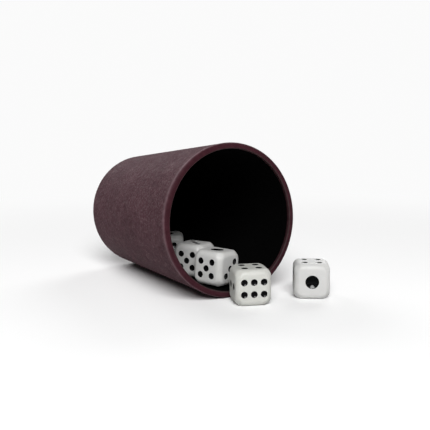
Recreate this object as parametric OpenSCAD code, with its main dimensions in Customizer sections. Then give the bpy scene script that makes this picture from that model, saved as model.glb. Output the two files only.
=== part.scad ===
// Tapered dice cup lying on its side, felt lined, with five pipped dice:
// four spilling out of the mouth in a row and one on the table beside them.
// +Z is up, the table is z = 0 and +X runs along the cup's underside from its base to its mouth.

/* [Cup] */
// Length of the cup from its base to its rim
cup_length = 94; // [76:1:110]
// Outer radius at the mouth
mouth_r = 35; // [32:0.5:42]
// Outer radius at the base
base_r = 30; // [26:0.5:32]
// Thickness of the side wall below the rim
wall = 2; // [1.6:0.1:3]
// Width of the thicker rim
rim_width = 2.8; // [2.4:0.1:4]
// How far the thicker rim reaches into the cup, down to the edge of the felt
rim_depth = 2; // [1.4:0.1:5]
// Thickness of the closed end
floor_thickness = 3.4; // [2.6:0.1:6]
// Rounding of the rim's outer edge
rim_outer_round = 1.2; // [0.6:0.1:1.4]
// Rounding of the rim's inner edge
rim_inner_round = 0.6; // [0.3:0.1:0.6]
// Rounding of the edge between base and side
base_round = 3; // [2:0.25:6]
// Width of the flat ring that the cup stands on when upright
foot_ring_width = 4; // [2:0.25:8]
// Depth of the shallow recess inside that ring
foot_recess = 0.8; // [0.4:0.1:1.6]

/* [Lining] */
// Thickness of the felt
felt_thickness = 0.8; // [0.5:0.1:1.5]

/* [Dice] */
// Size across two opposite faces of a die
die_size = 16; // [14:0.25:17]
// Rounding of a die's edges
die_edge_round = 2.6; // [1.8:0.1:2.8]
// Amount taken off each corner where three rounded edges meet
die_corner_trim = 1.2; // [0.1:0.05:1.6]
// Diameter of a small pip
pip_d = 2.75; // [2:0.05:3]
// Depth of a small pip's bowl
pip_depth = 0.6; // [0.3:0.05:0.9]
// Diameter of the large single pip
ace_d = 5.8; // [3:0.1:7]
// Depth of the large pip's bowl
ace_depth = 1.1; // [0.5:0.05:1.5]
// Thickness of the black lacquer in the bowls
lacquer = 0.12; // [0.08:0.01:0.25]
// Bare edge of each bowl between the lacquer and the face
pip_edge = 0.04; // [0.02:0.01:0.1]
// Half the distance between the two pips
two_spread = 2.8; // [1.8:0.05:3.6]
// Offset of the three's outer pips along each side of the face
three_spread = 3.1; // [2.2:0.05:3.6]
// Offset of the four's pips from the middle of the face
four_spread = 3.15; // [2.2:0.05:3.6]
// Offset of the five's outer pips from the middle of the face
five_spread = 3.15; // [3:0.05:3.6]
// Distance between neighbours in one of the six's rows of three
six_step = 4.35; // [3.2:0.05:4.5]
// Half the distance between the six's two rows
six_row = 2.65; // [1.8:0.05:3.2]

/* [Dice in the cup] */
// Turn of the innermost die about the vertical
die_1_yaw = 60; // [0:1:90]
// Turn of the second die about the vertical
die_2_yaw = 30; // [0:1:90]
// Turn of the die in the mouth about the vertical
die_3_yaw = 21; // [0:1:90]
// Tilt of the innermost die about the cup's axis, as it lies up the wall
die_1_tilt = 2.5; // [-20:0.5:20]
// Tilt of the second die about the cup's axis, as it lies up the wall
die_2_tilt = -2.5; // [-20:0.5:20]
// Tilt of the die in the mouth about the cup's axis, as it lies up the wall
die_3_tilt = -4; // [-20:0.5:20]
// Free distance along the cup between the innermost die and the second
die_1_gap = 10.1; // [0.3:0.1:14]
// Free distance along the cup between the second die and the one in the mouth
die_2_gap = 1.4; // [0.3:0.1:6]
// Distance from the rim to the nearest point of the die in the mouth
die_3_gap = 4.4; // [0:0.1:6]
// Clearance between a die's corners and the felt it rests on
felt_clearance = 0.15; // [0.1:0.05:0.4]

/* [Dice on the table] */
// Turn of the die just outside the rim
die_4_yaw = 68; // [0:1:90]
// Sideways place of the die just outside the rim
die_4_y = 0.8; // [-8:0.1:8]
// Distance from the rim to that die
die_4_gap = 0.1; // [0.1:0.1:6]
// Turn of the die that stands apart
die_5_yaw = 53.5; // [0:0.5:90]
// Place of the die that stands apart, ahead of the rim
die_5_x = 16.2; // [14:0.1:60]
// Place of the die that stands apart, to the side of the cup's axis
die_5_y = 30.3; // [28:0.1:60]

/* [Hidden] */
$fn = 96;
arc_steps = 8;
burgundy = [0.30, 0.17, 0.19];
felt_black = [0.03, 0.03, 0.03];
die_white = [0.93, 0.93, 0.91];
lacquer_black = [0.02, 0.02, 0.02];

// Cone of the cup: flare is the angle between its side and its axis
flare = atan((mouth_r - base_r) / cup_length);
function outer_r(s) = base_r + s * tan(flare);
function bore_r(s) = outer_r(s) - wall;
function rim_r(s) = outer_r(s) - rim_width;
function lined_r(s) = bore_r(s) - felt_thickness;
// Lying on its side, the cup's axis climbs towards the mouth by the same angle
mouth_centre = [-mouth_r * sin(flare), 0, mouth_r * cos(flare)];
base_centre = mouth_centre - cup_length * [cos(flare), 0, sin(flare)];

// Centres of the rounding arcs, as [radius, distance from the base]
base_arc = [outer_r(base_round) - base_round / cos(flare), base_round];
rim_outer_arc = [outer_r(cup_length - rim_outer_round) - rim_outer_round / cos(flare),
                 cup_length - rim_outer_round];
rim_inner_arc = [rim_r(cup_length - rim_inner_round) + rim_inner_round / cos(flare),
                 cup_length - rim_inner_round];
rim_foot = cup_length - rim_depth;
foot_inner_r = base_arc[0] - foot_ring_width;

// Die: half its size, half its flat face and the sphere that trims its corners
die_half = die_size / 2;
die_flat = die_half - die_edge_round;
corner_r = sqrt(3) * (die_flat + die_edge_round / sqrt(2)) - die_corner_trim;

// Half the width of a turned die, measured along X (yaw) or along Y (90 - yaw)
function reach(yaw) = die_flat * (abs(cos(yaw)) + abs(sin(yaw))) + die_edge_round;

// Places of the dice along the cup, each counted from the one in front of it
die_4_x = die_4_gap + reach(die_4_yaw);
die_3_x = -die_3_gap - reach(die_3_yaw);
die_2_x = die_3_x - reach(die_3_yaw) - die_2_gap - reach(die_2_yaw);
die_1_x = die_2_x - reach(die_2_yaw) - die_1_gap - reach(die_1_yaw);

// Lowest line inside the cup, which felt and rim share, and the height of a die resting across it
inside = max(wall + felt_thickness, rim_width);
felt_z = inside * cos(flare);
function trough_r(x) = mouth_r - inside + x * tan(flare);
function rest_z(x, yaw) =
  let (r = trough_r(x), corner = reach(yaw) - die_edge_round)
  felt_z + r - sqrt(pow(r - die_edge_round - felt_clearance, 2) - pow(corner, 2)) + die_flat;

// One row per die: [x, y, yaw, tilt about the cup's axis, rests in the cup, face turns]
PLACES = [
  [die_1_x, 0, die_1_yaw, die_1_tilt, true, [0, 0, 0]],
  [die_2_x, 0, die_2_yaw, die_2_tilt, true, [0, -90, 0]],
  [die_3_x, 0, die_3_yaw, die_3_tilt, true, [0, 0, 0]],
  [die_4_x, die_4_y, die_4_yaw, 0, false, [0, 90, 90]],
  [die_5_x, die_5_y, die_5_yaw, 0, false, [0, 90, -90]]
];

// The model's origin is the middle of its box, at table height
x_low = base_centre[0] + base_round * cos(flare) - base_arc[0] * sin(flare) - base_round;
x_high = max(die_4_x + reach(die_4_yaw), die_5_x + reach(die_5_yaw));
y_low = -rim_outer_arc[0] - rim_outer_round;
y_high = max(-y_low, die_5_y + reach(90 - die_5_yaw));
origin = [(x_low + x_high) / 2, (y_low + y_high) / 2, 0];

function arc(centre, r, from, to) =
  [for (i = [0:arc_steps]) let (a = from + (to - from) * i / arc_steps) centre + r * [cos(a), sin(a)]];

// Stands the children, built upright about Z from the base, along the lying cup's axis
module along_cup() {
  translate(base_centre - origin) rotate([0, 90 - flare, 0]) children();
}

module cup_shell() {
  outline = concat(
    [[0, foot_recess], [foot_inner_r - foot_recess, foot_recess], [foot_inner_r, 0]],
    arc(base_arc, base_round, -90, -flare),
    arc(rim_outer_arc, rim_outer_round, -flare, 90),
    arc(rim_inner_arc, rim_inner_round, 90, 180 - flare),
    [[rim_r(rim_foot), rim_foot], [bore_r(rim_foot), rim_foot]],
    [[bore_r(floor_thickness), floor_thickness], [0, floor_thickness]]);
  color(burgundy) along_cup() rotate_extrude() polygon(outline);
}

module felt_sleeve() {
  low = floor_thickness + felt_thickness;
  color(felt_black) along_cup() rotate_extrude()
    polygon([[lined_r(low), low], [bore_r(low), low],
             [bore_r(rim_foot), rim_foot], [lined_r(rim_foot), rim_foot]]);
}

module felt_disc() {
  color(felt_black) along_cup()
    translate([0, 0, floor_thickness]) cylinder(r = bore_r(floor_thickness), h = felt_thickness);
}

// Moves a die from its own centre to its place, lying on the felt or on the table
module place_die(n) {
  p = PLACES[n - 1];
  if (p[4])
    translate(mouth_centre - origin) rotate([0, -flare, 0]) rotate([p[3], 0, 0]) rotate([0, flare, 0])
      translate([p[0], 0, rest_z(p[0], p[2])] - mouth_centre) rotate([0, 0, p[2]]) rotate(p[5]) children();
  else
    translate([p[0], p[1], die_half] - origin) rotate([0, 0, p[2]]) rotate(p[5]) children();
}

module rounded_bar() {
  linear_extrude(height = die_size, center = true) {
    square([die_size, 2 * die_flat], center = true);
    square([2 * die_flat, die_size], center = true);
    for (a = [-1, 1], b = [-1, 1]) translate([a, b] * die_flat) circle(r = die_edge_round);
  }
}

// Cube with rounded edges and trimmed corners
module die_blank() {
  intersection() {
    rounded_bar();
    rotate([90, 0, 0]) rounded_bar();
    rotate([0, 90, 0]) rounded_bar();
    sphere(r = corner_r);
  }
}

// Each face, one to six: [turn that brings it up to the top, places of its pips on it]
FACES = [
  [[0, 0, 0], [[0, 0]]],
  [[-90, 0, 0], [for (a = [-1, 1]) [0, a * two_spread]]],
  [[90, 0, 90], [for (a = [-1:1]) [a, a] * three_spread]],
  [[90, 0, -90], [for (a = [-1, 1], b = [-1, 1]) [a, b] * four_spread]],
  [[90, 0, 0], concat([[0, 0]], [for (a = [-1, 1], b = [-1, 1]) [a, b] * five_spread])],
  [[180, 0, 0], [for (a = [-1:1], b = [-1, 1]) [b * six_row, a * six_step]]]
];

// Sets the children at each pip of a die, on the face: the first for the ace, the second for the rest
module at_pips() {
  for (f = FACES, p = f[1])
    rotate(f[0]) translate([p[0], p[1], die_half]) children(len(f[1]) == 1 ? 0 : 1);
}

// Ball that cuts a bowl of this diameter and depth, smaller by inset to leave the lacquer
function ball_r(d, depth) = (pow(d / 2, 2) + pow(depth, 2)) / (2 * depth);
module bowl_ball(d, depth, inset) {
  translate([0, 0, ball_r(d, depth) - depth]) sphere(r = ball_r(d, depth) - inset);
}

// Thin lining of a bowl, ending just under the face
module bowl_lacquer(d, depth) {
  above = 3 * ball_r(d, depth);
  difference() {
    bowl_ball(d, depth, 0);
    bowl_ball(d, depth, lacquer);
    translate([-above / 2, -above / 2, -pip_edge]) cube(above);
  }
}

module die(n) {
  color(die_white) place_die(n) difference() {
    die_blank();
    at_pips() {
      bowl_ball(ace_d, ace_depth, 0);
      bowl_ball(pip_d, pip_depth, 0);
    }
  }
}

module die_pips(n) {
  color(lacquer_black) place_die(n) at_pips() {
    bowl_lacquer(ace_d, ace_depth);
    bowl_lacquer(pip_d, pip_depth);
  }
}

cup_shell();
felt_sleeve();
felt_disc();
die(1);  // die_1
die(2);  // die_2
die(3);  // die_3
die(4);  // die_4
die(5);  // die_5
die_pips(1);  // die_1_pips
die_pips(2);  // die_2_pips
die_pips(3);  // die_3_pips
die_pips(4);  // die_4_pips
die_pips(5);  // die_5_pips
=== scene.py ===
import math

import bpy
import numpy as np
from mathutils import Matrix, Vector, noise
from mathutils.geometry import delaunay_2d_cdt


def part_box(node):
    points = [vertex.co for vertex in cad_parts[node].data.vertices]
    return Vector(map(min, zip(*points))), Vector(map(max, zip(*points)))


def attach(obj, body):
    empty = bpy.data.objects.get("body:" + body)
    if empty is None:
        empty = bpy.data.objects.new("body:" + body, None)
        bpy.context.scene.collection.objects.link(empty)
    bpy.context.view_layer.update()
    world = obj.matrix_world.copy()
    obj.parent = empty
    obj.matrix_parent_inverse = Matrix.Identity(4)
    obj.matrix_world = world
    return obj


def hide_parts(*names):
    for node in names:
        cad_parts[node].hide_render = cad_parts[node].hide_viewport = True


# Tapered, felt-lined dice cup on its side, with five pipped dice.
# Lengths in the settings are in millimetres and angles in degrees; everything built is in metres.
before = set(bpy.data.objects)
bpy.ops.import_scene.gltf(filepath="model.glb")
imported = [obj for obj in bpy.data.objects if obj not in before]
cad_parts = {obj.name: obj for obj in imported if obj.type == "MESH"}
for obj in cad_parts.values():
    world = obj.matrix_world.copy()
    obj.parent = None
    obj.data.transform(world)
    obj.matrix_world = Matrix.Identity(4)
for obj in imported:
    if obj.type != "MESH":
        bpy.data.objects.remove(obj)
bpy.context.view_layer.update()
mm = 0.001
tiny = 1e-9
scene = bpy.context.scene
scene.view_settings.view_transform = "Standard"
print("frame loaded:", len(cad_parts), "nodes")


# Mesh helpers

def turnAbout(axis, degrees):
    return np.array(Matrix.Rotation(math.radians(degrees), 3, axis))


def arcPoints(centre, radius, start, end, steps):
    return [(centre[0] + radius * math.cos(math.radians(a)), centre[1] + radius * math.sin(math.radians(a)))
            for a in np.linspace(start, end, steps + 1)]


# Revolves (radius, height) rows about Z; a row of radius 0 is a single point.
# Where the rows run out and up an outer side, the faces look outwards
def revolve(rows, segments, closed=False):
    angles = np.linspace(0, 2 * math.pi, segments, endpoint=False)
    ring = np.stack([np.cos(angles), np.sin(angles)], 1)
    points, starts, total = [], [], 0
    for radius, height in rows:
        starts.append((total, radius > tiny))
        if radius > tiny:
            points.append(np.column_stack([ring * radius, np.full(segments, height)]))
            total += segments
        else:
            points.append(np.array([[0, 0, height]]))
            total += 1
    faces = []
    pairs = list(zip(starts, starts[1:])) + ([(starts[-1], starts[0])] if closed else [])
    for (a, aRing), (b, bRing) in pairs:
        for k in range(segments):
            n = (k + 1) % segments
            if aRing and bRing:
                faces.append((a + k, a + n, b + n, b + k))
            elif bRing:
                faces.append((a, b + n, b + k))
            elif aRing:
                faces.append((a + k, a + n, b))
    return np.concatenate(points), faces


def turnFaces(faces):
    return [face[::-1] for face in faces]


def addPiece(name, points, faces, material, body, nodes, masks=None):
    mesh = bpy.data.meshes.new(name)
    mesh.from_pydata((np.asarray(points) * mm).tolist(), [], faces)
    mesh.update()
    mesh.polygons.foreach_set("use_smooth", [True] * len(mesh.polygons))
    for maskName, values in (masks or {}).items():
        mask = mesh.attributes.new(maskName, "FLOAT", "POINT")
        mask.data.foreach_set("value", np.asarray(values, np.float32))
    mesh.materials.append(material)
    piece = bpy.data.objects.new(name, mesh)
    scene.collection.objects.link(piece)
    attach(piece, body)
    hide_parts(*nodes)
    return piece


# Shader helpers

def addNode(tree, kind, at, values=None, **options):
    node = tree.nodes.new("ShaderNode" + kind)
    node.location = at
    for name, value in options.items():
        setattr(node, name, value)
    for name, value in (values or {}).items():
        if isinstance(value, bpy.types.NodeSocket):
            tree.links.new(value, node.inputs[name])
        else:
            node.inputs[name].default_value = value
    return node


def mixColours(tree, at, amount, first, second):
    mix = addNode(tree, "Mix", at, data_type="RGBA")
    for index, value in ((0, amount), (6, first), (7, second)):
        if isinstance(value, bpy.types.NodeSocket):
            tree.links.new(value, mix.inputs[index])
        else:
            mix.inputs[index].default_value = value if index == 0 else (*value, 1)
    return mix.outputs[2]


def scaleColour(tree, at, colour, factor):
    return addNode(tree, "VectorMath", at, {0: colour, "Scale": factor}, operation="SCALE").outputs[0]


def readMask(tree, at, name):
    return addNode(tree, "Attribute", at, attribute_name=name).outputs["Fac"]


def calculate(tree, at, operation, first, second=None, third=None):
    node = addNode(tree, "Math", at, operation=operation)
    for index, value in enumerate((first, second, third)):
        if isinstance(value, bpy.types.NodeSocket):
            tree.links.new(value, node.inputs[index])
        elif value is not None:
            node.inputs[index].default_value = value
    return node.outputs[0]


def newGroup(name, inputs, outputs):
    group = bpy.data.node_groups.new(name, "ShaderNodeTree")
    for socketName, value in inputs:
        kind = "NodeSocketVector" if value is None else "NodeSocketFloat"
        socket = group.interface.new_socket(name=socketName, in_out="INPUT", socket_type=kind)
        if value is not None:
            socket.default_value = value
    for socketName in outputs:
        group.interface.new_socket(name=socketName, in_out="OUTPUT", socket_type="NodeSocketFloat")
    start, end = group.nodes.new("NodeGroupInput"), group.nodes.new("NodeGroupOutput")
    start.location, end.location = (-900, 0), (700, 0)
    return group, start.outputs, end.inputs


def useGroup(tree, group, at, values):
    return addNode(tree, "Group", at, values, node_tree=group).outputs


def newMaterial(name, finish):
    material = bpy.data.materials.new(name)
    material.use_nodes = True
    tree = material.node_tree
    tree.nodes.clear()
    output = addNode(tree, "OutputMaterial", (900, 0))
    shader = addNode(tree, "BsdfPrincipled", (600, 0), finish)
    tree.links.new(shader.outputs[0], output.inputs[0])
    place = addNode(tree, "TexCoord", (-1500, 0)).outputs["Object"]
    return material, tree, shader, place


def feed(tree, socket, shader, name):
    tree.links.new(socket, shader.inputs[name])


# Effects that several materials share

# Slow drift between a low and a high value, for handled, slightly uneven surfaces
def makeMottle():
    inputs = [("Vector", None), ("Scale", 60), ("Low", 0), ("High", 1)]
    group, given, result = newGroup("surfaceMottle", inputs, ["Value"])
    cloud = addNode(group, "TexNoise", (-600, 0), {"Vector": given["Vector"], "Scale": given["Scale"],
                                                   "Detail": 4, "Roughness": 0.6})
    spread = addNode(group, "MapRange", (0, 0), {"Value": cloud.outputs["Fac"],
                                                 "From Min": 0.32, "From Max": 0.68,
                                                 "To Min": given["Low"], "To Max": given["High"]})
    group.links.new(spread.outputs[0], result["Value"])
    return group


# Where handling has rubbed the edges: the edge mask of the mesh, broken up by noise
def makeEdgeWear():
    inputs = [("Vector", None), ("Edge", 0), ("Scale", 400), ("Amount", 0.5)]
    group, given, result = newGroup("edgeWear", inputs, ["Mask"])
    patches = addNode(group, "TexNoise", (-600, 0), {"Vector": given["Vector"], "Scale": given["Scale"],
                                                     "Detail": 5, "Roughness": 0.7})
    broken = addNode(group, "MapRange", (-300, 0), {"Value": patches.outputs["Fac"],
                                                    "From Min": 0.42, "From Max": 0.62},
                     interpolation_type="SMOOTHSTEP")
    edgeTinted = calculate(group, (0, 0), "MULTIPLY", broken.outputs[0], given["Edge"])
    scaled = calculate(group, (200, 0), "MULTIPLY", edgeTinted, given["Amount"])
    group.links.new(scaled, result["Mask"])
    return group


# Hairline scratches in two directions
def makeScratches():
    inputs = [("Vector", None), ("Scale", 300), ("Coverage", 0.5)]
    group, given, result = newGroup("fineScratches", inputs, ["Height"])
    heights = []
    for row, turn in enumerate(((0.4, 0.9, 0.3), (1.9, 0.2, 2.1))):
        down = -260 * row
        stretched = addNode(group, "Mapping", (-700, down), {"Vector": given["Vector"], "Rotation": turn,
                                                             "Scale": (1, 14, 1)})
        lines = addNode(group, "TexNoise", (-500, down), {"Vector": stretched.outputs[0],
                                                          "Scale": given["Scale"], "Detail": 2})
        thin = addNode(group, "MapRange", (-300, down), {"Value": lines.outputs["Fac"],
                                                         "From Min": 0.6, "From Max": 0.68})
        heights.append(thin.outputs[0])
    both = calculate(group, (0, 0), "MAXIMUM", heights[0], heights[1])
    scaled = calculate(group, (200, 0), "MULTIPLY", both, given["Coverage"])
    sunk = calculate(group, (400, 0), "SUBTRACT", 0, scaled)
    group.links.new(sunk, result["Height"])
    return group


mottle, edgeWear, scratches = makeMottle(), makeEdgeWear(), makeScratches()
print("shared shader groups built")


# Camera, fitted to the pips and to the outline of the cup

camera = {"place": (269.81, -162.85, 78.40), "heading": 57.542, "tiltDown": 8.158, "roll": 0.3935,
          "focalPixels": 643.03, "imageWidth": 430, "sensor": 36}


def makeCamera(settings):
    data = bpy.data.cameras.new("studioCamera")
    data.sensor_width = settings["sensor"]
    data.lens = settings["focalPixels"] / settings["imageWidth"] * settings["sensor"]
    data.clip_start, data.clip_end = 0.01, 50
    eye = bpy.data.objects.new("studioCamera", data)
    turned = (Matrix.Rotation(math.radians(settings["heading"]), 4, "Z")
              @ Matrix.Rotation(math.radians(90 - settings["tiltDown"]), 4, "X")
              @ Matrix.Rotation(math.radians(-settings["roll"]), 4, "Z"))
    eye.matrix_world = Matrix.Translation(Vector(settings["place"]) * mm) @ turned
    scene.collection.objects.link(eye)
    scene.camera = eye


makeCamera(camera)
print("camera placed")


# Studio: pale floor that fades into a white backdrop, soft lamps, dim surroundings

studio = {"floorWidth": 12000, "floorColour": (0.93, 0.93, 0.93), "fadeStart": 0.1, "fadeEnd": 0.42,
          "backdrop": 0.96, "surroundings": 0.035,
          "lamps": [("keyLamp", (0.796, -0.46, 0.771), 0.75, 17.2),
                    ("backLamp", (-0.55, 0.815, 0.688), 0.7, 4.3),
                    ("endLamp", (-0.976, -0.12, 0.688), 0.7, 4.3)],
          "aim": (0, 0, 0.03), "darkSide": (0.856, -0.516, 0), "darkShare": 0.05,
          "darkSky": (0, 0.35), "darkFloor": (0.02, 0.045)}


# 1 for what the camera sees, also in reflections; 0 for the light that falls on surfaces
def seenDirectly(tree, at):
    path = addNode(tree, "LightPath", at)
    glossy = calculate(tree, (at[0] + 200, at[1]), "ADD", path.outputs["Is Camera Ray"],
                       path.outputs["Is Glossy Ray"])
    return calculate(tree, (at[0] + 400, at[1]), "ADD", glossy, path.outputs["Is Transmission Ray"])


# Reflections find the room dark on the side of the camera: a factor for what they see there
def darkInReflections(tree, at, place, span, settings):
    side = addNode(tree, "VectorMath", at, {0: place, 1: settings["darkSide"]},
                   operation="DOT_PRODUCT").outputs["Value"]
    near = addNode(tree, "MapRange", (at[0] + 200, at[1]), {"Value": side, "From Min": span[0],
                                                            "From Max": span[1]},
                   interpolation_type="SMOOTHSTEP").outputs[0]
    path = addNode(tree, "LightPath", (at[0], at[1] - 300))
    reflected = calculate(tree, (at[0] + 400, at[1]), "MULTIPLY", near, path.outputs["Is Glossy Ray"])
    return calculate(tree, (at[0] + 600, at[1]), "MULTIPLY_ADD", reflected, settings["darkShare"] - 1, 1)


def makeStudio(settings):
    world = bpy.data.worlds.new("studioSurroundings")
    scene.world = world
    world.use_nodes = True
    tree = world.node_tree
    tree.nodes.clear()
    seen = seenDirectly(tree, (-900, 0))
    strength = addNode(tree, "MapRange", (-200, 0), {"Value": seen, "To Min": settings["surroundings"],
                                                     "To Max": settings["backdrop"]}).outputs[0]
    towards = addNode(tree, "TexCoord", (-1300, 400)).outputs["Generated"]
    dark = darkInReflections(tree, (-1100, 400), towards, settings["darkSky"], settings)
    dimmed = calculate(tree, (0, 0), "MULTIPLY", strength, dark)
    glow = addNode(tree, "Background", (200, 0), {"Color": (1, 1, 1, 1), "Strength": dimmed})
    output = addNode(tree, "OutputWorld", (400, 0))
    tree.links.new(glow.outputs[0], output.inputs[0])

    material = bpy.data.materials.new("paleFloor")
    material.use_nodes = True
    tree = material.node_tree
    tree.nodes.clear()
    place = addNode(tree, "TexCoord", (-1300, 0)).outputs["Object"]
    distance = addNode(tree, "VectorMath", (-1100, 0), {0: place}, operation="LENGTH").outputs["Value"]
    far = addNode(tree, "MapRange", (-900, 0), {"Value": distance, "From Min": settings["fadeStart"],
                                                "From Max": settings["fadeEnd"]},
                  interpolation_type="SMOOTHSTEP").outputs[0]
    backdrop = calculate(tree, (-400, 0), "MULTIPLY", far, seenDirectly(tree, (-900, -300)))
    dark = darkInReflections(tree, (-1100, 400), place, settings["darkFloor"], settings)
    shade = scaleColour(tree, (-400, 300), settings["floorColour"], dark)
    paper = addNode(tree, "BsdfDiffuse", (-200, 0), {"Color": shade})
    glow = addNode(tree, "Emission", (-200, -200), {"Color": (1, 1, 1, 1),
                                                    "Strength": settings["backdrop"]})
    both = addNode(tree, "MixShader", (0, 0), {0: backdrop, 1: paper.outputs[0], 2: glow.outputs[0]})
    output = addNode(tree, "OutputMaterial", (200, 0))
    tree.links.new(both.outputs[0], output.inputs[0])

    half = settings["floorWidth"] / 2 * mm
    mesh = bpy.data.meshes.new("paleFloor")
    corners = [(-half, -half, 0), (half, -half, 0), (half, half, 0), (-half, half, 0)]
    mesh.from_pydata(corners, [], [(0, 1, 2, 3)])
    mesh.materials.append(material)
    floor = bpy.data.objects.new("paleFloor", mesh)
    scene.collection.objects.link(floor)

    for name, place, size, power in settings["lamps"]:
        data = bpy.data.lights.new(name, "AREA")
        data.shape, data.size, data.energy = "DISK", size, power
        lamp = bpy.data.objects.new(name, data)
        lamp.location = place
        ahead = Vector(settings["aim"]) - Vector(place)
        lamp.rotation_euler = ahead.to_track_quat("-Z", "Y").to_euler()
        scene.collection.objects.link(lamp)


makeStudio(studio)
print("studio lit")


# Cup: one moulded shell, grained outside, smooth at the rim and foot

cup = {"length": 94, "mouthRadius": 35, "baseRadius": 30, "wall": 2, "rimWidth": 2.8, "rimDepth": 2,
       "floorThickness": 3.4, "rimOuterRound": 1.2, "rimInnerRound": 0.6, "baseRound": 3,
       "footRingWidth": 4, "footRecess": 0.8, "recessStart": 2, "recessGap": 0.2,
       "recessReach": 1.4, "recessRound": 0.4, "ringRound": 0.3, "ringSteps": (1.3, 2.6),
       "underLip": ((0.05, 0.1), (0.15, 0)), "floorSteps": (20, 10, 0),
       "segments": 512, "recessRows": 10, "footArcRows": 4, "baseArcRows": 16, "sideRows": 200,
       "outerArcRows": 12, "rimRows": 5, "innerArcRows": 8, "boreRows": 12,
       "smoothBand": 0.35, "bandFade": 0.35, "bandStep": 0.06, "baseFade": (0.5, 1.6), "grainRows": 14,
       "cellSize": 1.7, "creaseDepth": 0.1, "creaseShare": 0.32, "warp": 0.45, "warpScale": 0.8,
       "grainSeed": 7, "rimLine": (1, 6), "lipLine": (21, 5), "footLine": (12, 5)}

taper = math.degrees(math.atan((cup["mouthRadius"] - cup["baseRadius"]) / cup["length"]))
slope = math.tan(math.radians(taper))


def outerRadius(height):
    return cup["baseRadius"] + height * slope


# The box of the shell gives its place: it lies on its side, its axis climbing by the taper
def findCupPlace():
    low, high = (np.array(corner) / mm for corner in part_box("cup_shell"))
    cosine, sine = math.cos(math.radians(taper)), math.sin(math.radians(taper))
    arcRadius = outerRadius(cup["baseRound"]) - cup["baseRound"] / cosine
    baseX = low[0] - cup["baseRound"] * cosine + arcRadius * sine + cup["baseRound"]
    baseZ = cup["mouthRadius"] * cosine - cup["length"] * sine
    base = np.array([baseX, (low[1] + high[1]) / 2, baseZ])
    return base, turnAbout("Y", 90 - taper)


cupBase, cupTurn = findCupPlace()


def alongCup(points):
    return points @ cupTurn.T + cupBase


# Leather-like cells: 1 on the pebbles, falling to 0 in the creases between them
def pebbleHeight(point, settings):
    place = Vector(point) / settings["cellSize"]
    place = place + noise.noise_vector(place * settings["warpScale"]) * settings["warp"]
    near = noise.voronoi(place)[0]
    crease = min(1, (near[1] - near[0]) / settings["creaseShare"])
    return crease * crease * (3 - 2 * crease)


# 1 on one row of points, fading to 0 over some rows on both sides
def rowMask(rowOf, row, spread):
    return np.clip(1 - np.abs(rowOf - row) / spread, 0, 1)


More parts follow.
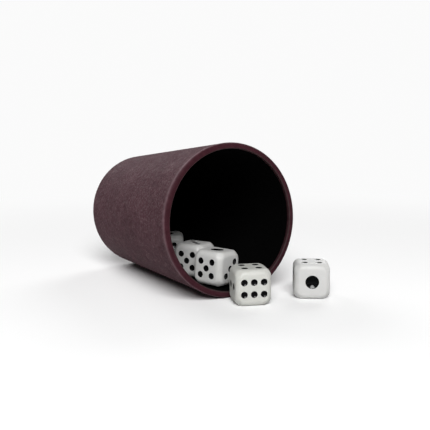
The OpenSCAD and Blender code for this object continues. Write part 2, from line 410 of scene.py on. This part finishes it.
def makeShell(settings, material):
    cosine, sine = math.cos(math.radians(taper)), math.sin(math.radians(taper))
    length, baseRound = settings["length"], settings["baseRound"]
    outerRound, innerRound = settings["rimOuterRound"], settings["rimInnerRound"]
    baseArc = (outerRadius(baseRound) - baseRound / cosine, baseRound)
    outerArc = (outerRadius(length - outerRound) - outerRound / cosine, length - outerRound)
    innerArc = (outerRadius(length - innerRound) - settings["rimWidth"] + innerRound / cosine,
                length - innerRound)
    footRadius, recess = baseArc[0] - settings["footRingWidth"], settings["footRecess"]
    rimFoot, floorTop = length - settings["rimDepth"], settings["floorThickness"]

    # Rows from the middle of the base out and up the side, over the rim and down to the floor
    reach, recessRound, ringRound = settings["recessReach"], settings["recessRound"], settings["ringRound"]
    footArcRows, recessEnd = settings["footArcRows"], footRadius - reach - settings["recessGap"]
    recessRadii = np.linspace(settings["recessStart"], recessEnd, settings["recessRows"])
    rows = [(0, recess)] + [(r, recess) for r in recessRadii]
    rows += arcPoints((footRadius - reach, recess - recessRound), recessRound, 90, 30, footArcRows)
    rows += arcPoints((footRadius + ringRound, ringRound), ringRound, 210, 270, footArcRows)
    rows += [(footRadius + step, 0) for step in settings["ringSteps"]]
    baseRows = arcPoints(baseArc, baseRound, -90, -taper, settings["baseArcRows"])
    sideStart = len(rows) + len(baseRows)
    rows += baseRows
    top = length - outerRound * (1 + sine)
    heights = np.linspace(baseArc[1] - baseRound * sine, top, settings["sideRows"])[1:-1]
    rows += [(outerRadius(h), h) for h in heights]
    sideEnd = len(rows)
    rows += arcPoints(outerArc, outerRound, -taper, 90, settings["outerArcRows"])
    rows += [(r, length) for r in np.linspace(outerArc[0], innerArc[0], settings["rimRows"])[1:-1]]
    rows += arcPoints(innerArc, innerRound, 90, 180 - taper, settings["innerArcRows"])
    lip = outerRadius(rimFoot) - settings["rimWidth"]
    bore = outerRadius(rimFoot) - settings["wall"]
    rows += [(lip + out, rimFoot + up) for out, up in settings["underLip"]] + [(bore, rimFoot)]
    boreHeights = np.linspace(rimFoot, floorTop, settings["boreRows"])[1:]
    rows += [(outerRadius(h) - settings["wall"], h) for h in boreHeights]
    rows += [(r, floorTop) for r in settings["floorSteps"]]

    points, faces = revolve(rows, settings["segments"])
    heightAlong = points[:, 2].copy()
    radius = np.hypot(points[:, 0], points[:, 1])
    rowSizes = [settings["segments"] if r > tiny else 1 for r, _ in rows]
    rowOf = np.repeat(np.arange(len(rows)), rowSizes)

    # Grain covers the side and the outer part of the base's rounding, and stops short of the rim
    bandStart = length - outerRound - settings["smoothBand"]
    fadeStart, fadeLength = settings["baseFade"]
    fadeIn = np.clip((heightAlong - fadeStart) / fadeLength, 0, 1)
    fadeOut = np.clip((bandStart - heightAlong) / settings["bandFade"], 0, 1)
    onSide = (rowOf >= sideStart - settings["grainRows"]) & (rowOf < sideEnd)
    grained = np.where(onSide, fadeIn * fadeOut, 0)
    pebbles = np.ones(len(points))
    # Without a seed the offsets of the warp follow the clock, and the grain changes from run to run
    noise.seed_set(settings["grainSeed"])
    for i in np.nonzero(grained > 0)[0]:
        pebbles[i] = pebbleHeight(points[i], settings)
    outward = np.zeros_like(points)
    outward[:, :2] = points[:, :2] / np.maximum(radius, tiny)[:, None]
    sunk = grained * (settings["bandStep"] + settings["creaseDepth"] * (1 - pebbles))
    points = points - outward * sunk[:, None]

    # The edge mask marks the rounded outer rim edge and the foot edge, where the material paints a highlight
    (rimRow, rimSpread), (lipRow, lipSpread), (footRow, footSpread) = (
        settings[name] for name in ("rimLine", "lipLine", "footLine"))
    outerEdge = rowMask(rowOf, sideEnd + rimRow, rimSpread)
    footEdge = rowMask(rowOf, sideStart - footRow, footSpread)
    masks = {"grained": grained, "pebbles": pebbles, "edge": np.maximum(outerEdge, footEdge),
             "innerEdge": rowMask(rowOf, sideEnd + lipRow, lipSpread)}
    addPiece("cupShell", alongCup(points), faces, material, "cup", ["cup_shell"], masks)


# The lighter speck colour is partly dust and partly painted glints of light on the grain's peaks
# crease is a painted shade: the grain's creases and the gaps between its fine cells are coloured darker than
# the pebbles
burgundy = {"pebble": (0.1, 0.053, 0.062), "crease": (0.047, 0.019, 0.025), "dustAndGlintSpeck": (0.15, 0.1, 0.107),
            # The edge colour on the rounded rim and foot edges is a painted highlight along them, with
            # patches of real rubbing
            "smooth": (0.033, 0.01, 0.014), "edgeTint": (0.13, 0.075, 0.087), "lining": (0.04, 0.03, 0.029),
            "fineCell": 1750, "grainRoughness": 0.62, "smoothRoughness": 0.4,
            "pebbleShare": 0.8, "speckShare": 0.45, "edgeHighlightShare": 0.75, "lipShare": 0.8, "poreShare": 0.35}


def makeBurgundy(settings):
    finish = {"IOR": 1.48, "Specular IOR Level": 0.04}
    material, tree, shader, place = newMaterial("burgundyLeatherGrain", finish)
    grained = readMask(tree, (-1500, 300), "grained")
    pebbles = readMask(tree, (-1500, 500), "pebbles")
    edge = readMask(tree, (-1500, 700), "edge")
    innerEdge = readMask(tree, (-1500, 900), "innerEdge")

    warp = addNode(tree, "TexNoise", (-1500, -300), {"Vector": place, "Scale": 900, "Detail": 1})
    shifted = addNode(tree, "VectorMath", (-1300, -200), {0: warp.outputs["Color"], "Scale": 0.0005},
                      operation="SCALE")
    moved = addNode(tree, "VectorMath", (-1100, -200), {0: place, 1: shifted.outputs[0]},
                    operation="ADD").outputs[0]
    cells = addNode(tree, "TexVoronoi", (-900, -200), {"Vector": moved, "Scale": settings["fineCell"]},
                    feature="DISTANCE_TO_EDGE")
    creases = addNode(tree, "MapRange", (-700, -200), {"Value": cells.outputs["Distance"],
                                                       "From Min": 0.02, "From Max": 0.3},
                      interpolation_type="SMOOTHSTEP").outputs[0]
    toned = addNode(tree, "TexVoronoi", (-900, -500), {"Vector": moved, "Scale": settings["fineCell"]})
    cellTone = addNode(tree, "SeparateColor", (-700, -500), {"Color": toned.outputs["Color"]}).outputs[0]
    specks = addNode(tree, "MapRange", (-500, -500), {"Value": cellTone, "From Min": 0.74}).outputs[0]
    dust = addNode(tree, "TexNoise", (-900, -800), {"Vector": place, "Scale": 2600, "Detail": 2})
    pores = addNode(tree, "MapRange", (-700, -800), {"Value": dust.outputs["Fac"],
                                                     "From Min": 0.35, "From Max": 0.7}).outputs[0]

    pebbleShare = settings["pebbleShare"]
    raised = calculate(tree, (-700, 100), "MULTIPLY_ADD", pebbles, pebbleShare, 1 - pebbleShare)
    relief = calculate(tree, (-500, 100), "MULTIPLY", creases, raised)
    # The skin runs from the crease colour, painted shade in the creases, to the pebble colour on the raised
    # cells
    skin = mixColours(tree, (-300, 200), relief, settings["crease"], settings["pebble"])
    # Lighter specks on random cells: partly dust, partly painted glints standing for light catching the grain
    speckAmount = calculate(tree, (-300, -300), "MULTIPLY", specks, settings["speckShare"])
    skin = mixColours(tree, (-100, 200), speckAmount, skin, settings["dustAndGlintSpeck"])
    tone = useGroup(tree, mottle, (-300, 500), {"Vector": place, "Scale": 35,
                                                "Low": 0.86, "High": 1.12})["Value"]
    smooth = mixColours(tree, (50, 300), grained, settings["smooth"], skin)
    # Edge colour: a painted highlight along the whole edge mask at a fixed share, plus patches of real
    # rubbing from the edge wear group
    edgeTint = useGroup(tree, edgeWear, (-100, 700), {"Vector": place, "Edge": edge, "Scale": 350,
                                                    "Amount": 0.35})["Mask"]
    lit = calculate(tree, (50, 600), "MULTIPLY_ADD", edge, settings["edgeHighlightShare"], edgeTint)
    edgeTinted = mixColours(tree, (200, 300), lit, smooth, settings["edgeTint"])
    dull = calculate(tree, (50, 900), "MULTIPLY", innerEdge, settings["lipShare"])
    edgeTinted = mixColours(tree, (300, 500), dull, edgeTinted, settings["lining"])
    blotch = useGroup(tree, mottle, (50, 1100), {"Vector": place, "Scale": 420,
                                                 "Low": 0.88, "High": 1.22})["Value"]
    drift = calculate(tree, (300, 1000), "MULTIPLY", tone, blotch)
    feed(tree, scaleColour(tree, (450, 300), edgeTinted, drift), shader, "Base Color")

    uneven = useGroup(tree, mottle, (-300, -700), {"Vector": place, "Scale": 180,
                                                   "Low": -0.05, "High": 0.06})["Value"]
    plain = addNode(tree, "MapRange", (0, -500), {"Value": grained, "To Min": settings["smoothRoughness"],
                                                  "To Max": settings["grainRoughness"]}).outputs[0]
    feed(tree, calculate(tree, (200, -500), "ADD", plain, uneven), shader, "Roughness")

    pored = calculate(tree, (-300, -100), "MULTIPLY_ADD", pores, settings["poreShare"], relief)
    height = calculate(tree, (-100, -100), "MULTIPLY", pored, grained)
    hairlines = useGroup(tree, scratches, (-100, -300), {"Vector": place, "Scale": 220,
                                                         "Coverage": 0.15})["Height"]
    total = calculate(tree, (100, -100), "ADD", height, hairlines)
    bump = addNode(tree, "Bump", (350, -200), {"Strength": 0.7, "Distance": 0.00011, "Height": total})
    feed(tree, bump.outputs[0], shader, "Normal")
    return material


makeShell(cup, makeBurgundy(burgundy))
print("cup shell built")


# Felt lining: a sleeve on the wall and a disc on the floor

lining = {"thickness": 0.8, "edgeRound": 0.3, "segments": 256, "sleeveRows": 90, "edgeArcRows": 4,
          "discStart": 0.6, "discRows": 40, "nap": 0.09, "napSize": 1.1, "fuzzSize": 0.45, "fuzzShare": 0.6,
          "colour": (0.0006, 0.0006, 0.0006), "lint": (0.0015, 0.0014, 0.0014)}


def napHeight(points, settings):
    places = [Vector(p) for p in points]
    waves = np.array([noise.noise(p / settings["napSize"]) for p in places])
    fuzz = np.array([noise.noise(p / settings["fuzzSize"]) for p in places])
    return (waves + settings["fuzzShare"] * fuzz) * settings["nap"]


def makeFelt(settings):
    finish = {"Roughness": 1, "IOR": 1.4, "Specular IOR Level": 0.01, "Sheen Weight": 0.004,
              "Sheen Roughness": 0.6}
    material, tree, shader, place = newMaterial("blackFelt", finish)
    fibres = addNode(tree, "TexNoise", (-900, 0), {"Vector": place, "Scale": 5200, "Detail": 3,
                                                   "Roughness": 0.75}).outputs["Fac"]
    clumps = useGroup(tree, mottle, (-900, -300), {"Vector": place, "Scale": 700})["Value"]
    mixed = calculate(tree, (-600, 0), "MULTIPLY", fibres, clumps)
    skin = mixColours(tree, (-300, 100), mixed, settings["colour"], settings["lint"])
    feed(tree, skin, shader, "Base Color")
    height = calculate(tree, (-300, -200), "ADD", fibres, mixed)
    bump = addNode(tree, "Bump", (0, -200), {"Strength": 1, "Distance": 0.00015, "Height": height})
    feed(tree, bump.outputs[0], shader, "Normal")
    return material


def makeLining(settings, material):
    thickness, edgeRound, arcRows = (settings[name] for name in ("thickness", "edgeRound", "edgeArcRows"))
    segments = settings["segments"]
    low, high = cup["floorThickness"] + thickness, cup["length"] - cup["rimDepth"]

    def back(height):
        return outerRadius(height) - cup["wall"]

    def front(height):
        return back(height) - thickness

    sleeveHeights = np.linspace(low + edgeRound, high - edgeRound, settings["sleeveRows"])
    inner = [(front(h), h) for h in sleeveHeights]
    topEdge = arcPoints((front(high) + edgeRound, high - edgeRound), edgeRound, 180, 90, arcRows)[1:]
    lowEdge = arcPoints((front(low) + edgeRound, low + edgeRound), edgeRound, 270, 180, arcRows)[:-1]
    outer = [(back(h), h) for h in (high, low)]
    rows = lowEdge + inner + topEdge + outer
    points, faces = revolve(rows, segments, closed=True)
    napped = np.zeros(len(points))
    first, last = len(lowEdge) * segments, (len(lowEdge) + len(inner)) * segments
    napped[first:last] = napHeight(points[first:last], settings)
    outward = np.zeros_like(points)
    outward[:, :2] = points[:, :2] / np.hypot(points[:, 0], points[:, 1])[:, None]
    points = points + outward * napped[:, None]
    sleeve = addPiece("feltSleeve", alongCup(points), turnFaces(faces), material, "cup",
                      ["felt_sleeve"])

    floor, rim = cup["floorThickness"], back(cup["floorThickness"])
    top = floor + thickness
    discRadii = np.linspace(settings["discStart"], rim - edgeRound, settings["discRows"])
    rows = [(0, top)] + [(r, top) for r in discRadii]
    topRows = len(rows)
    rows += arcPoints((rim - edgeRound, top - edgeRound), edgeRound, 90, 0, arcRows)[1:]
    rows += [(rim, floor), (rim / 2, floor), (0, floor)]
    points, faces = revolve(rows, segments)
    count = 1 + (topRows - 1) * segments
    points[:count, 2] -= np.abs(napHeight(points[:count], settings))
    disc = addPiece("feltDisc", alongCup(points), turnFaces(faces), material, "cup", ["felt_disc"])


makeLining(lining, makeFelt(lining))
print("felt lining built")


# Dice: rounded blanks with lacquered bowls for pips

dieShape = {"size": 16, "edgeRound": 2.6, "cornerRadius": 11.3, "cornerBlend": 0.15,
            "arcSteps": 8, "shoulderSteps": 3, "flatSteps": 9, "weldStep": 1e-4, "wearSpread": 2.2,
            "pipDiameter": 3.05, "pipDepth": 0.6, "aceDiameter": 6.15, "aceDepth": 1.1,
            "lipRound": 0.14, "lipRows": 5, "flange": 0.12, "holeGap": 0.12, "holeShare": 0.999,
            "joinWithin": 1e-6,
            "smallSegments": 40, "aceSegments": 72, "bowlRows": 10, "filmRows": 16,
            "lacquer": 0.12, "filmEdge": 0.012, "filmPower": 6, "bareEdge": 0.04,
            "twoSpread": 2.8, "threeSpread": 3.1, "fourSpread": 3.15, "fiveSpread": 3.15,
            "sixStep": 4.35, "sixRow": 2.65}

dice = [
    {"name": "dieInnermost", "node": "die_1", "slot": "die_white", "yaw": 60, "tilt": 2.5, "turn": (0, 0, 0)},
    {"name": "dieSecond", "node": "die_2", "slot": "die_white", "yaw": 30, "tilt": -2.5, "turn": (0, -90, 0)},
    {"name": "dieInMouth", "node": "die_3", "slot": "die_white", "yaw": 21, "tilt": -4, "turn": (0, 0, 0)},
    {"name": "dieAtRim", "node": "die_4", "slot": "die_cream", "yaw": 68, "tilt": None, "turn": (0, 90, 90)},
    {"name": "dieApart", "node": "die_5", "slot": "die_white", "yaw": 53.5, "tilt": None,
     "turn": (0, 90, -90)},
]


# For each face, one to six: the turn that takes it from the top to its side, and its pips
def pipLayout(shape):
    two, three, four, five = (shape[k] for k in ("twoSpread", "threeSpread", "fourSpread", "fiveSpread"))
    signs = [(a, b) for a in (-1, 1) for b in (-1, 1)]
    return [((0, 0, 0), [(0, 0)]),
            ((-90, 0, 0), [(0, -two), (0, two)]),
            ((90, 0, 90), [(a * three, a * three) for a in (-1, 0, 1)]),
            ((90, 0, -90), [(a * four, b * four) for a, b in signs]),
            ((90, 0, 0), [(0, 0)] + [(a * five, b * five) for a, b in signs]),
            ((180, 0, 0), [(b * shape["sixRow"], a * shape["sixStep"])
                           for a in (-1, 0, 1) for b in (-1, 1)])]


def eulerTurn(turn):
    return turnAbout("Z", turn[2]) @ turnAbout("Y", turn[1]) @ turnAbout("X", turn[0])


# Radius of the ball that a bowl is part of, and the angle of its wall at the face
def bowlBall(diameter, depth):
    ball = ((diameter / 2) ** 2 + depth ** 2) / (2 * depth)
    return ball, math.asin(diameter / 2 / ball)


# Rows from the flat face over the rounded lip down to the middle of a bowl
def bowlRows(shape, diameter, depth):
    ball, wall = bowlBall(diameter, depth)
    lipRound = shape["lipRound"]
    reach = lipRound * math.tan(wall / 2)
    rows = [(diameter / 2 + reach + shape["flange"], 0)]
    for t in np.linspace(0, wall, shape["lipRows"]):
        rows.append((diameter / 2 + reach - lipRound * math.sin(t), lipRound * (math.cos(t) - 1)))
    start = wall - reach / ball
    for t in np.linspace(start, 0, shape["bowlRows"])[1:]:
        rows.append((ball * math.sin(t), ball - depth - ball * math.cos(t)))
    return rows


# Closed film of lacquer on a bowl: its top thins out towards the lip
def filmRows(shape, diameter, depth):
    ball, wall = bowlBall(diameter, depth)
    edge = math.acos((ball - depth + shape["bareEdge"]) / ball)
    top, bottom = [], []
    for t in np.linspace(0, edge, shape["filmRows"]):
        film = shape["lacquer"] * (1 - (t / edge) ** shape["filmPower"]) + shape["filmEdge"]
        top.append(((ball - film) * math.sin(t), ball - depth - (ball - film) * math.cos(t)))
        bottom.append((ball * math.sin(t), ball - depth - ball * math.cos(t)))
    return top + bottom[::-1]


def mergeParts(parts):
    points, faces, total = [], [], 0
    for partPoints, partFaces in parts:
        points.append(partPoints)
        faces += [tuple(i + total for i in face) for face in partFaces]
        total += len(partPoints)
    return np.concatenate(points), faces


# Joins points that coincide, so that the blank is one closed skin
def weld(points, faces, step):
    keys = np.round(points / step).astype(np.int64)
    _, first, index = np.unique(keys, axis=0, return_index=True, return_inverse=True)
    index = index.ravel()
    welded = []
    for face in faces:
        ring = []
        for i in face:
            if index[i] not in ring:
                ring.append(int(index[i]))
        if len(ring) > 2:
            welded.append(tuple(ring))
    return points[first], welded


# Height of a rounded face above the die's centre
def faceHeight(shape, u, v):
    radius = shape["edgeRound"]
    flat = shape["size"] / 2 - radius
    across, along = np.maximum(np.abs(u) - flat, 0), np.maximum(np.abs(v) - flat, 0)
    return flat + np.sqrt(radius ** 2 - across ** 2 - along ** 2)


# Grid over one face and its half of the roundings around it
def faceGrid(shape):
    half, radius, steps = shape["size"] / 2, shape["edgeRound"], shape["arcSteps"]
    flat = half - radius
    outside = [flat + radius * math.tan(math.radians(45 * k / steps)) for k in range(1, steps + 1)]
    lines = [-v for v in outside[::-1]] + list(np.linspace(-flat, flat, shape["flatSteps"] + 1)) + outside
    points = np.empty((len(lines), len(lines), 3))
    for j, v in enumerate(lines):
        for i, u in enumerate(lines):
            inner = np.array([min(max(u, -flat), flat), min(max(v, -flat), flat), flat])
            away = np.array([u, v, half]) - inner
            points[j, i] = inner + away / np.linalg.norm(away) * radius
    return points


# Middle of a face and the start of its roundings, with round holes for the bowls, as triangles
def holedMiddle(shape, grid, pips):
    first = shape["arcSteps"] - shape["shoulderSteps"]
    last = len(grid) - 1 - first
    steps = range(first, last)
    ring = [(first, i) for i in steps] + [(j, last) for j in steps]
    ring += [(last, i) for i in range(last, first, -1)] + [(j, first) for j in range(last, first, -1)]
    points = [tuple(grid[j, i, :2]) for j, i in ring]
    edges = [(k, (k + 1) % len(ring)) for k in range(len(ring))]
    for x, y, radius, segments in pips:
        start = len(points)
        turns = [2 * math.pi * k / segments for k in range(segments)]
        points += [(x + radius * math.cos(t), y + radius * math.sin(t)) for t in turns]
        edges += [(start + k, start + (k + 1) % segments) for k in range(segments)]
    for j in range(first + 1, last):
        for i in range(first + 1, last):
            u, v = grid[j, i, :2]
            if all(math.hypot(u - x, v - y) > radius + shape["holeGap"] for x, y, radius, _ in pips):
                points.append((u, v))
    found, _, triangles, sources, *_ = delaunay_2d_cdt([Vector(p) for p in points], edges, [], 0,
                                                       shape["joinWithin"])
    exact = np.array([points[source[0]] if source else tuple(place)
                      for place, source in zip(found, sources)])
    kept = []
    for triangle in triangles:
        u, v = exact[list(triangle)].mean(axis=0)
        if all(math.hypot(u - x, v - y) > radius * shape["holeShare"] for x, y, radius, _ in pips):
            kept.append(tuple(triangle))
    return np.column_stack([exact, faceHeight(shape, exact[:, 0], exact[:, 1])]), kept


# What the grid has outside that middle, out to where the next faces begin
def roundedBorder(shape, grid):
    first = shape["arcSteps"] - shape["shoulderSteps"]
    count = len(grid)
    last = count - 1 - first
    faces = []
    for j in range(count - 1):
        for i in range(count - 1):
            if first <= i < last and first <= j < last:
                continue
            a = j * count + i
            faces.append((a, a + 1, a + count + 1, a + count))
    return grid.reshape(-1, 3), faces


# Sets a bowl or film at its pip, following the face where it reaches into the rounding
def setInFace(shape, points, x, y):
    placed = points + np.array([x, y, 0])
    placed[:, 2] += faceHeight(shape, placed[:, 0], placed[:, 1])
    return placed


# Pulls in whatever lies beyond the ball that trims the corners, with a soft transition
def trimCorners(points, shape):
    away = np.linalg.norm(points, axis=1)
    beyond = shape["cornerBlend"] * np.logaddexp(0, (away - shape["cornerRadius"]) / shape["cornerBlend"])
    return points * (1 - beyond / away)[:, None]


def makeDie(shape):
    grid = faceGrid(shape)
    blank, films = [], []
    for turn, places in pipLayout(shape):
        sizes = ("aceDiameter", "aceDepth", "aceSegments")
        if len(places) > 1:
            sizes = ("pipDiameter", "pipDepth", "smallSegments")
        diameter, depth, segments = (shape[name] for name in sizes)
        rows = bowlRows(shape, diameter, depth)
        bowlPoints, bowlFaces = revolve(rows, segments)
        filmPoints, filmFaces = revolve(filmRows(shape, diameter, depth), segments)
        holes = [(x, y, rows[0][0], segments) for x, y in places]
        parts = [holedMiddle(shape, grid, holes), roundedBorder(shape, grid)]
        turned = eulerTurn(turn)
        for x, y in places:
            parts.append((setInFace(shape, bowlPoints, x, y), bowlFaces))
            films.append((setInFace(shape, filmPoints, x, y) @ turned.T, turnFaces(filmFaces)))
        blank += [(points @ turned.T, faces) for points, faces in parts]
    blankPoints, blankFaces = weld(*mergeParts(blank), shape["weldStep"])
    filmPoints, filmFaces = mergeParts(films)
    return (trimCorners(blankPoints, shape), blankFaces), (trimCorners(filmPoints, shape), filmFaces)


# Turn of a die in its place; those in the cup are tilted round its axis as well
def diePlace(die):
    centre = sum((np.array(corner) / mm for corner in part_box(die["node"])), np.zeros(3)) / 2
    turned = turnAbout("Z", die["yaw"]) @ eulerTurn(die["turn"])
    if die["tilt"] is not None:
        tilted = turnAbout("Y", -taper) @ turnAbout("X", die["tilt"]) @ turnAbout("Y", taper)
        turned = tilted @ turned
    return centre, turned


dieFinish = {"die_white": {"colour": (0.52, 0.518, 0.508), "edge": (0.463, 0.459, 0.441),
                           "roughness": (0.42, 0.52), "waves": 1.5},
             "die_cream": {"colour": (0.502, 0.505, 0.474), "edge": (0.45, 0.442, 0.408),
                           "roughness": (0.42, 0.52), "waves": 1.5}}


def makeDieWhite(name, settings):
    finish = {"IOR": 1.5, "Subsurface Weight": 0.12, "Subsurface Scale": 0.001,
              "Subsurface Radius": (1, 0.9, 0.8)}
    material, tree, shader, place = newMaterial(name, finish)
    edge = readMask(tree, (-1500, 300), "edge")
    tone = useGroup(tree, mottle, (-900, 300), {"Vector": place, "Scale": 120,
                                                "Low": 0.975, "High": 1.015})["Value"]
    edgeTint = useGroup(tree, edgeWear, (-900, 0), {"Vector": place, "Edge": edge, "Scale": 500,
                                                  "Amount": 0.35})["Mask"]
    body = mixColours(tree, (-500, 200), edgeTint, settings["colour"], settings["edge"])
    feed(tree, scaleColour(tree, (-200, 200), body, tone), shader, "Base Color")
    low, high = settings["roughness"]
    polish = useGroup(tree, mottle, (-500, -100), {"Vector": place, "Scale": 260,
                                                   "Low": low, "High": high})["Value"]
    feed(tree, polish, shader, "Roughness")
    hairlines = useGroup(tree, scratches, (-500, -400), {"Vector": place, "Scale": 260,
                                                         "Coverage": 0.6})["Height"]
    waves = addNode(tree, "TexNoise", (-500, -600), {"Vector": place, "Scale": 220,
                                                     "Detail": 1}).outputs["Fac"]
    height = calculate(tree, (-200, -400), "MULTIPLY_ADD", waves, settings["waves"], hairlines)
    bump = addNode(tree, "Bump", (200, -300), {"Strength": 0.3, "Distance": 0.00002, "Height": height})
    feed(tree, bump.outputs[0], shader, "Normal")
    return material


lacquer = {"colour": (0.002, 0.002, 0.0023), "dust": (0.012, 0.012, 0.012), "roughness": (0.05, 0.1),
           "flow": 1.2}


def makeLacquer(settings):
    material, tree, shader, place = newMaterial("blackLacquer", {"IOR": 1.5, "Specular IOR Level": 0.35})
    dust = useGroup(tree, mottle, (-700, 200), {"Vector": place, "Scale": 900,
                                                "Low": -0.2, "High": 0.25})["Value"]
    dusty = calculate(tree, (-450, 200), "MAXIMUM", dust, 0)
    skin = mixColours(tree, (-200, 200), dusty, settings["colour"], settings["dust"])
    feed(tree, skin, shader, "Base Color")
    low, high = settings["roughness"]
    polish = useGroup(tree, mottle, (-450, -50), {"Vector": place, "Scale": 500,
                                                  "Low": low, "High": high})["Value"]
    feed(tree, polish, shader, "Roughness")
    brushed = useGroup(tree, scratches, (-450, -300), {"Vector": place, "Scale": 500,
                                                       "Coverage": 0.4})["Height"]
    flow = addNode(tree, "TexNoise", (-450, -500), {"Vector": place, "Scale": 600,
                                                    "Detail": 1}).outputs["Fac"]
    height = calculate(tree, (-200, -300), "MULTIPLY_ADD", flow, settings["flow"], brushed)
    bump = addNode(tree, "Bump", (200, -300), {"Strength": 0.4, "Distance": 0.00002, "Height": height})
    feed(tree, bump.outputs[0], shader, "Normal")
    return material


def makeDice(shape, finishes):
    (blankPoints, blankFaces), (filmPoints, filmFaces) = makeDie(shape)
    flat = shape["size"] / 2 - shape["edgeRound"]
    beyond = np.clip((np.abs(blankPoints) - flat) / shape["edgeRound"], 0, 1)
    onEdge = np.clip(np.sort(beyond, axis=1)[:, 1] * shape["wearSpread"], 0, 1)
    whites = {slot: makeDieWhite(slot.replace("die_", "die") + "Resin", finish)
              for slot, finish in finishes.items()}
    black = makeLacquer(lacquer)
    for die in dice:
        name, node, slot = die["name"], die["node"], die["slot"]
        centre, turned = diePlace(die)
        addPiece(name, blankPoints @ turned.T + centre, blankFaces, whites[slot], node, [node],
                 {"edge": onEdge})
        addPiece(name + "Pips", filmPoints @ turned.T + centre, filmFaces, black, node,
                 [node + "_pips"])
        print(name, "built")


makeDice(dieShape, dieFinish)
